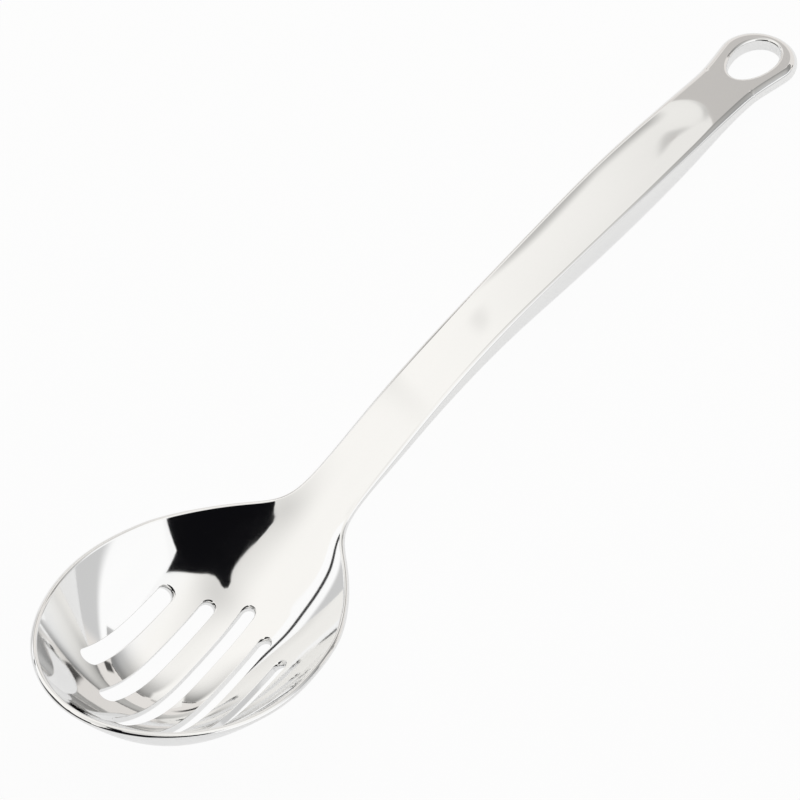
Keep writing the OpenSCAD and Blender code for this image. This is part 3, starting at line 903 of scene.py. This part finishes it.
# The dark gap beside the lamp that the bowl mirrors next to the neck, and two thin dark edges.
# The corners of all cards are in metres, over the table.
LAMP_H = 0.8
CARD_DROP = 0.01
DARK_TONE = (0.004, 0.004, 0.005, 1)
DARK_CARDS = [
    ("dark_card", [(-0.094, -1.26), (-0.062, -0.83), (0.16, -0.815), (-0.2375, -0.285),
                   (-0.275, -0.19), (-0.275, -0.12), (-0.262, -0.06), (-0.265, -0.01),
                   (-0.29, 0.022), (-0.325, 0.018), (-0.345, -0.02), (-0.36, -0.05),
                   (-1.4, -0.05), (-1.4, -1.6), (-0.3, -1.6)]),
    ("dark_far_edge", [(2.2, -1.07), (1.27, 0.3), (1.33, 0.33), (2.27, -1.05)]),
    ("dark_side_edge", [(0.62, 0.74), (0.62, 1.12), (0.65, 1.12), (0.65, 0.77)]),
]
dark, nt, surface = emptied_material("dark_card")
glow = nt.nodes.new("ShaderNodeEmission")
glow.inputs["Color"].default_value = DARK_TONE
nt.links.new(glow.outputs[0], surface)
for name, corners in DARK_CARDS:
    card = flat_piece(name, [(x, y, LAMP_H - CARD_DROP) for x, y in corners])
    card.data.materials.append(dark)
    card.visible_camera = False

# The great soft lamp overhead. Its near part, the strip beyond a slanting line and the side part
# fall off differently, and three spots are greyer. A fall or part says where it starts and ends,
# in metres, and the level at each; a spot its middle, half widths and depth.
LAMP_CORNERS = [
    (2.2, -1.07), (1.27, 0.3), (1.13, 0.42), (1.12, 0.6), (1.3, 0.68), (1.3, 0.98), (0.86, 0.98),
    (0.62, 0.74), (0.62, 1.3), (-0.3, 1.3), (-0.44, 0.62), (-0.62, 0.33), (-0.75, 0.1),
    (-1.4, 0.1), (-1.4, -1.6), (-0.1, -1.6), (0.1, -0.86), (0.72, -0.93), (1.6, -1.75)]
LAMP_GLOW = 1.03
LAMP_TINT = (1.0, 0.985, 0.955)
LAMP_WARMTH = (-0.9, -0.3, 0.0, 1.0)
NEAR_TURN, NEAR_START = 0.4, 0.06
NEAR_FALL = (0.08, 0.75, 1.0, 0.54)
FAR_FALL = (0.6, 1.4, 1.0, 0.5)
SIDE_FALL = (0.12, 0.6, 1.0, 0.3)
STRIP_FALL = (0.3, 1.2, 1.0, 0.86)
STRIP_SLOPE, STRIP_START, STRIP_LEAST = 0.35, -0.01, 0.27
NEAR_PART = (-0.05, 0.05, 1.0, 0.0)
SIDE_PART = (0.12, 0.2, 0.0, 1.0)
SIDE_PART_END = (1.0, 1.25, 1.0, 0.0)
LAMP_SPOTS = [(-0.2, -0.08, 0.5, 0.55, 0.28), (1.1, 0.565, 0.055, 0.09, 0.33),
              (0.53, 0.43, 0.05, 0.06, 0.12)]
lamp = flat_piece("lamp", [(x, y, LAMP_H) for x, y in LAMP_CORNERS])
soft_light, nt, surface = emptied_material("lamp")
spot = nt.nodes.new("ShaderNodeTexCoord")
axes = nt.nodes.new("ShaderNodeSeparateXYZ")
nt.links.new(spot.outputs["Object"], axes.inputs[0])
X, Y = axes.outputs["X"], axes.outputs["Y"]
out_x = maths(nt, "MULTIPLY_ADD", Y, NEAR_TURN, maths(nt, "SUBTRACT", X, NEAR_START))
near_fall = maths(nt, "MULTIPLY", ramp(nt, out_x, *NEAR_FALL), ramp(nt, out_x, *FAR_FALL))
side_fall = ramp(nt, X, *SIDE_FALL)
strip_fall = ramp(nt, X, *STRIP_FALL)
strip_y = maths(nt, "MULTIPLY_ADD", X, STRIP_SLOPE, STRIP_START)
strip_y = maths(nt, "MAXIMUM", strip_y, STRIP_LEAST)
near_part = ramp(nt, maths(nt, "SUBTRACT", Y, strip_y), *NEAR_PART)
side_part = maths(nt, "MULTIPLY", ramp(nt, maths(nt, "SUBTRACT", Y, X), *SIDE_PART),
                  ramp(nt, Y, *SIDE_PART_END))
strip_part = maths(nt, "SUBTRACT", maths(nt, "SUBTRACT", 1.0, near_part), side_part)
level = maths(nt, "MULTIPLY", side_fall, side_part)
level = maths(nt, "MULTIPLY_ADD", near_fall, near_part, level)
level = maths(nt, "MULTIPLY_ADD", strip_fall, strip_part, level)
for spot_x, spot_y, half_x, half_y, depth in LAMP_SPOTS:
    dx = maths(nt, "DIVIDE", maths(nt, "SUBTRACT", X, spot_x), half_x)
    dy = maths(nt, "DIVIDE", maths(nt, "SUBTRACT", Y, spot_y), half_y)
    square = maths(nt, "ADD", maths(nt, "MULTIPLY", dx, dx), maths(nt, "MULTIPLY", dy, dy))
    far = maths(nt, "SQRT", square)
    level = maths(nt, "MULTIPLY", level, ramp(nt, far, 0.0, 1.0, 1.0 - depth, 1.0))
glow = nt.nodes.new("ShaderNodeEmission")
glow.inputs["Strength"].default_value = LAMP_GLOW
nt.links.new(glowing(nt, level, ramp(nt, Y, *LAMP_WARMTH), LAMP_TINT), glow.inputs["Color"])
nt.links.new(glow.outputs[0], surface)
lamp.data.materials.append(soft_light)
lamp.visible_camera = False

# The room: a pale grey far wall, and elsewhere a white one, greyer low down, with darker places
# that the steel mirrors: the walls' joint, a stand, a part beyond the loop, and a flag behind the
# camera. A window says, in degrees, where it starts, is whole from and to, and ends; a place has
# one round the table, one of height, and its depth.
ROOM_GLOW = 1.07
ROOM_TINT = (1.0, 0.965, 0.93)
FAR_SIDE, FAR_LEVEL = (-38, -30, 66, 76), 0.78
BACK_WALL = (10, 14, 0.6, 1.0)
WALL_JOINT = ((35, 50, 105, 112), (19.3, 20.2, 22.3, 23.2), 0.97)
STAND = ((-26, -24, -19, -16), (9, 10, 15, 17), 0.9)
BEYOND_LOOP = ((18, 20, 30, 32), (27, 28, 36.5, 38), 0.3)
FLAG = ((-76, -70, 40, 50), (5, 8, 56, 60), 0.97)
SEEN_WALL = (0.97, 0.97, 0.97, 1)
DEGREES = 180 / math.pi
world = bpy.data.worlds.new("studio")
world.use_nodes = True
nt = world.node_tree
background = nt.nodes["Background"]
way = nt.nodes.new("ShaderNodeTexCoord")
axes = nt.nodes.new("ShaderNodeSeparateXYZ")
nt.links.new(way.outputs["Generated"], axes.inputs[0])
X, Y = axes.outputs["X"], axes.outputs["Y"]
rise = maths(nt, "MULTIPLY", maths(nt, "ARCSINE", axes.outputs["Z"]), DEGREES)
turned = maths(nt, "MULTIPLY", maths(nt, "ARCTAN2", Y, X), DEGREES)
from_back = maths(nt, "ARCTAN2", maths(nt, "MULTIPLY", Y, -1.0), maths(nt, "MULTIPLY", X, -1.0))
from_back = maths(nt, "MULTIPLY", from_back, DEGREES)
far_side = window(nt, turned, *FAR_SIDE)
near_wall = maths(nt, "MULTIPLY", maths(nt, "SUBTRACT", 1.0, far_side), ramp(nt, rise, *BACK_WALL))
wall = maths(nt, "ADD", maths(nt, "MULTIPLY", far_side, FAR_LEVEL), near_wall)
for angle, (turns, rises, depth) in ((turned, WALL_JOINT), (turned, STAND),
                                     (turned, BEYOND_LOOP), (from_back, FLAG)):
    dark_part = maths(nt, "MULTIPLY", window(nt, angle, *turns), window(nt, rise, *rises))
    left = maths(nt, "SUBTRACT", 1.0, maths(nt, "MULTIPLY", dark_part, depth))
    wall = maths(nt, "MULTIPLY", wall, left)
nt.links.new(glowing(nt, wall, far_side, ROOM_TINT), background.inputs["Color"])
background.inputs["Strength"].default_value = ROOM_GLOW

# The camera sees an even white wall
ray = nt.nodes.new("ShaderNodeLightPath")
seen_wall = nt.nodes.new("ShaderNodeBackground")
seen_wall.inputs["Color"].default_value = SEEN_WALL
room = mixed_by(nt, ray.outputs["Is Camera Ray"], background.outputs[0], seen_wall.outputs[0])
nt.links.new(room, nt.nodes["World Output"].inputs["Surface"])
bpy.context.scene.world = world
bpy.context.scene.view_settings.view_transform = "Standard"

# The camera of the photograph: its turn, drop and roll, and the point that it looks at
TURN, DROP, ROLL = map(math.radians, (44.429, 52.816, 8.988))
AIM = Vector((-22.508, 6.29, 12.635)) / 1000
CAMERA_DIST = 0.8
SENSOR_W = 36
LENS_WIDTHS = 3.4285
UP = Vector((0, 0, 1))
plain_right = Vector((math.cos(TURN), -math.sin(TURN), 0))
ahead = Vector((math.sin(TURN), math.cos(TURN), 0))
view = ahead * math.cos(DROP) - UP * math.sin(DROP)
plain_up = ahead * math.sin(DROP) + UP * math.cos(DROP)
rolled_right = plain_right * math.cos(ROLL) - plain_up * math.sin(ROLL)
rolled_up = plain_right * math.sin(ROLL) + plain_up * math.cos(ROLL)
lens = bpy.data.cameras.new("camera")
lens.sensor_width = SENSOR_W
lens.lens = LENS_WIDTHS * SENSOR_W
camera = bpy.data.objects.new("camera", lens)
place = Matrix((rolled_right, rolled_up, -view)).transposed().to_4x4()
place.translation = AIM - view * CAMERA_DIST
camera.matrix_world = place
bpy.context.scene.collection.objects.link(camera)
bpy.context.scene.camera = camera
